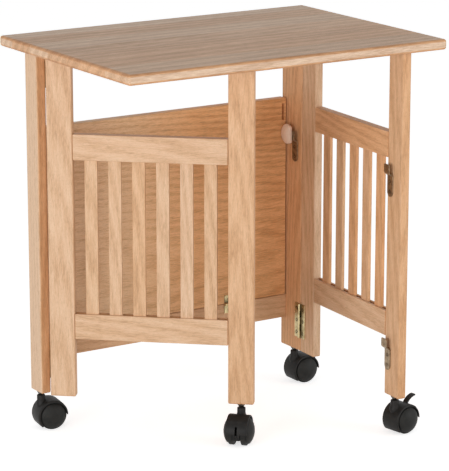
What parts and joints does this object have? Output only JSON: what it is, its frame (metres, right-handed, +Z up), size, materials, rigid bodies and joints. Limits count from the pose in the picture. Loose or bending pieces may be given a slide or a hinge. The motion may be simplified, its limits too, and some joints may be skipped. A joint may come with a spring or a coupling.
{
  "type": "folding printer stand",
  "caption": "Folding wooden printer stand with a fixed top, a fold-down back shelf, slatted side panels that swing like gate legs, and twin-wheel swivel casters.",
  "frame": {"origin": "on the floor under the middle of the top", "axes": "+Z up, +X to the right along the back frame, +Y towards the back"},
  "size_m": [0.61, 0.43, 0.6863],
  "materials": {
    "top_wood": "satin lacquer",
    "frame_wood": "satin lacquer",
    "shelf_wood": "satin lacquer",
    "hinge_brass": "plated",
    "strap_bronze": "dark bronze plated",
    "stem_steel": "blackened",
    "caster_plastic": "fine grained",
    "wheel_plastic": "fine grained"
  },
  "bodies": {
    "back_frame": {"tabletop": "top_wood", "fold_shelf": "shelf_wood", "back_left_post": "frame_wood", "back_right_post": "frame_wood", "back_bottom_rail": "frame_wood", "shelf_left_hinge_rail_leaf": "hinge_brass", "shelf_left_hinge_board_leaf": "hinge_brass", "shelf_right_hinge_rail_leaf": "hinge_brass", "shelf_right_hinge_board_leaf": "hinge_brass", "left_lower_hinge_post_leaf": "hinge_brass", "left_upper_hinge_post_leaf": "hinge_brass", "right_lower_hinge_post_leaf": "hinge_brass", "right_upper_hinge_post_leaf": "hinge_brass", "shelf_catch_strap": "strap_bronze"},
    "catch_button": {"shelf_catch_button": "frame_wood"},
    "left_panel": {"left_hinge_post": "frame_wood", "left_front_post": "frame_wood", "left_bottom_rail": "frame_wood", "left_top_rail": "frame_wood", "left_slat_1": "frame_wood", "left_slat_2": "frame_wood", "left_slat_3": "frame_wood", "left_slat_4": "frame_wood", "left_slat_5": "frame_wood", "left_slat_6": "frame_wood", "left_lower_hinge_panel_leaf": "hinge_brass", "left_upper_hinge_panel_leaf": "hinge_brass", "left_lower_strap": "strap_bronze", "left_upper_strap": "strap_bronze"},
    "right_panel": {"right_hinge_post": "frame_wood", "right_front_post": "frame_wood", "right_bottom_rail": "frame_wood", "right_top_rail": "frame_wood", "right_slat_1": "frame_wood", "right_slat_2": "frame_wood", "right_slat_3": "frame_wood", "right_slat_4": "frame_wood", "right_slat_5": "frame_wood", "right_lower_hinge_panel_leaf": "hinge_brass", "right_upper_hinge_panel_leaf": "hinge_brass", "right_lower_strap": "strap_bronze", "right_upper_strap": "strap_bronze"},
    "back_left_caster": {"back_left_caster_hood": "caster_plastic", "back_left_caster_stem": "stem_steel"},
    "back_left_left_wheel": {"back_left_caster_left_wheel": "wheel_plastic"},
    "back_left_right_wheel": {"back_left_caster_right_wheel": "wheel_plastic"},
    "back_right_caster": {"back_right_caster_hood": "caster_plastic", "back_right_caster_stem": "stem_steel"},
    "back_right_left_wheel": {"back_right_caster_left_wheel": "wheel_plastic"},
    "back_right_right_wheel": {"back_right_caster_right_wheel": "wheel_plastic"},
    "left_front_caster": {"left_front_caster_hood": "caster_plastic", "left_front_caster_stem": "stem_steel"},
    "left_front_left_wheel": {"left_front_caster_left_wheel": "wheel_plastic"},
    "left_front_right_wheel": {"left_front_caster_right_wheel": "wheel_plastic"},
    "right_front_caster": {"right_front_caster_hood": "caster_plastic", "right_front_caster_stem": "stem_steel"},
    "right_front_left_wheel": {"right_front_caster_left_wheel": "wheel_plastic"},
    "right_front_right_wheel": {"right_front_caster_right_wheel": "wheel_plastic"},
    "brake_lever": {"brake_lever": "caster_plastic"}
  },
  "joints": [
    {"name": "left_panel_swing", "type": "hinge", "parent": "back_frame", "child": "left_panel", "pos_m": [-0.247, 0.1555, 0.37], "axis": [0, 0, -1], "range_deg": [-41, 49]},
    {"name": "right_panel_swing", "type": "hinge", "parent": "back_frame", "child": "right_panel", "pos_m": [0.247, 0.1315, 0.37], "axis": [0, 0, 1], "range_deg": [-38, 3.5]},
    {"name": "catch_turn", "type": "hinge", "parent": "back_frame", "child": "catch_button", "pos_m": [0.236, 0.1515, 0.4665], "axis": [1, 0, 0], "range_deg": [0, 180]},
    {"name": "back_left_swivel", "type": "hinge", "parent": "back_frame", "child": "back_left_caster", "pos_m": [-0.259, 0.176, 0.06], "axis": [0, 0, 1], "continuous": true},
    {"name": "back_left_left_wheel_spin", "type": "hinge", "parent": "back_left_caster", "child": "back_left_left_wheel", "pos_m": [-0.24318, 0.17364, 0.025], "axis": [0.1478, 0.989, 0], "continuous": true},
    {"name": "back_left_right_wheel_spin", "type": "hinge", "parent": "back_left_caster", "child": "back_left_right_wheel", "pos_m": [-0.24318, 0.17364, 0.025], "axis": [0.1478, 0.989, 0], "continuous": true},
    {"name": "back_right_swivel", "type": "hinge", "parent": "back_frame", "child": "back_right_caster", "pos_m": [0.259, 0.164, 0.06], "axis": [0, 0, 1], "continuous": true},
    {"name": "back_right_left_wheel_spin", "type": "hinge", "parent": "back_right_caster", "child": "back_right_left_wheel", "pos_m": [0.275, 0.164, 0.025], "axis": [0, 1, 0], "continuous": true},
    {"name": "back_right_right_wheel_spin", "type": "hinge", "parent": "back_right_caster", "child": "back_right_right_wheel", "pos_m": [0.275, 0.164, 0.025], "axis": [0, 1, 0], "continuous": true},
    {"name": "left_front_swivel", "type": "hinge", "parent": "left_panel", "child": "left_front_caster", "pos_m": [-0.00554, -0.06897, 0.06], "axis": [0, 0, 1], "continuous": true},
    {"name": "left_front_left_wheel_spin", "type": "hinge", "parent": "left_front_caster", "child": "left_front_left_wheel", "pos_m": [-0.01705, -0.08009, 0.025], "axis": [0.6947, -0.7193, 0], "continuous": true},
    {"name": "left_front_right_wheel_spin", "type": "hinge", "parent": "left_front_caster", "child": "left_front_right_wheel", "pos_m": [-0.01705, -0.08009, 0.025], "axis": [0.6947, -0.7193, 0], "continuous": true},
    {"name": "right_front_swivel", "type": "hinge", "parent": "right_panel", "child": "right_front_caster", "pos_m": [0.23933, -0.1741, 0.06], "axis": [0, 0, 1], "continuous": true},
    {"name": "right_front_left_wheel_spin", "type": "hinge", "parent": "right_front_caster", "child": "right_front_left_wheel", "pos_m": [0.25517, -0.17188, 0.025], "axis": [-0.1392, 0.9903, 0], "continuous": true},
    {"name": "right_front_right_wheel_spin", "type": "hinge", "parent": "right_front_caster", "child": "right_front_right_wheel", "pos_m": [0.25517, -0.17188, 0.025], "axis": [-0.1392, 0.9903, 0], "continuous": true},
    {"name": "brake_press", "type": "hinge", "parent": "right_front_caster", "child": "brake_lever", "pos_m": [0.2631, -0.17076, 0.0475], "axis": [-0.1392, 0.9903, 0], "range_deg": [0, 18]}
  ]
}
